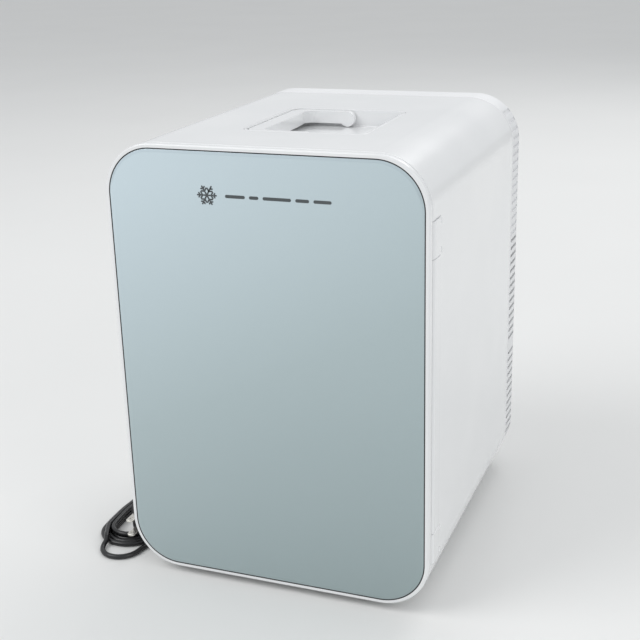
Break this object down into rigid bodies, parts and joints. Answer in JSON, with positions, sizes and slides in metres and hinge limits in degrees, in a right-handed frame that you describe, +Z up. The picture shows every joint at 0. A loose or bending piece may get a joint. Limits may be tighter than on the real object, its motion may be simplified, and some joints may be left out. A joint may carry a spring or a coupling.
{
  "type": "mini fridge",
  "caption": "Small thermoelectric mini fridge with a glass-fronted hinged door, a fold-flat carry handle in the top, a vented rear panel and a coiled mains lead.",
  "frame": {"origin": "middle of the footprint, on the surface that the feet stand on", "axes": "+Z up, the door faces -Y, and its hinge is on the +X side"},
  "size_m": [0.3004, 0.3621, 0.3441],
  "materials": {
    "white_gloss": "gloss",
    "white_satin": "satin",
    "front_glass": "polished, painted on the back",
    "foam": "expanded bead foam",
    "seal": "matte",
    "black_plastic": "fine grain",
    "black_rubber": "smooth",
    "aluminium": "bare extrusion",
    "steel": "zinc plated",
    "nickel": "nickel plated",
    "ceramic": "fired ceramic",
    "board": "lacquered board"
  },
  "bodies": {
    "cabinet": {"outer_shell": "white_gloss", "hinge_knuckle_upper": "white_gloss", "hinge_knuckle_lower": "white_gloss", "handle_tray": "white_gloss", "front_frame": "white_satin", "inner_liner": "white_satin", "rear_bulkhead": "white_satin", "shelf": "white_satin", "inner_fan_cover": "white_satin", "rear_panel": "white_satin", "insulation": "foam", "cold_fan_frame": "black_plastic", "hot_fan_frame": "black_plastic", "mains_inlet": "black_plastic", "car_inlet": "black_plastic", "mode_switch_frame": "black_plastic", "cord_connector": "black_plastic", "plug_body": "black_plastic", "foot_front_left": "black_rubber", "foot_front_right": "black_rubber", "foot_rear_left": "black_rubber", "foot_rear_right": "black_rubber", "power_cord_lead": "black_rubber", "power_cord_coil": "black_rubber", "power_cord_tail": "black_rubber", "cold_sink": "aluminium", "cold_block": "aluminium", "hot_sink": "aluminium", "strike_plate": "steel", "hinge_pin_upper": "steel", "hinge_pin_lower": "steel", "handle_pin_front": "steel", "handle_pin_rear": "steel", "rear_screw_1": "steel", "rear_screw_2": "steel", "rear_screw_3": "steel", "rear_screw_4": "steel", "plug_blade_upper": "nickel", "plug_blade_lower": "nickel", "peltier_module": "ceramic", "power_board": "board"},
    "door": {"door_frame": "white_gloss", "door_glass": "front_glass", "door_foam": "foam", "door_liner": "white_satin", "door_gasket": "seal", "door_magnet": "steel", "door_bin": "white_satin"},
    "handle": {"carry_handle": "white_gloss"},
    "rocker": {"mode_rocker": "black_plastic"},
    "cold_rotor": {"cold_fan_rotor": "black_plastic"},
    "hot_rotor": {"hot_fan_rotor": "black_plastic"}
  },
  "joints": [
    {"name": "door_hinge", "type": "hinge", "parent": "cabinet", "child": "door", "pos_m": [0.1175, -0.127, 0.1705], "axis": [0, 0, 1], "range_deg": [0, 120]},
    {"name": "handle_fold", "type": "hinge", "parent": "cabinet", "child": "handle", "pos_m": [0.0065, -0.02425, 0.3375], "axis": [0, 1, 0], "range_deg": [0, 180]},
    {"name": "rocker_tilt", "type": "hinge", "parent": "cabinet", "child": "rocker", "pos_m": [-0.006, 0.1338, 0.06], "axis": [1, 0, 0], "range_deg": [-10, 10]},
    {"name": "cold_fan_spin", "type": "hinge", "parent": "cabinet", "child": "cold_rotor", "pos_m": [0, 0.0256, 0.19], "axis": [0, 1, 0], "continuous": true},
    {"name": "hot_fan_spin", "type": "hinge", "parent": "cabinet", "child": "hot_rotor", "pos_m": [0, 0.115, 0.19], "axis": [0, 1, 0], "continuous": true}
  ]
}
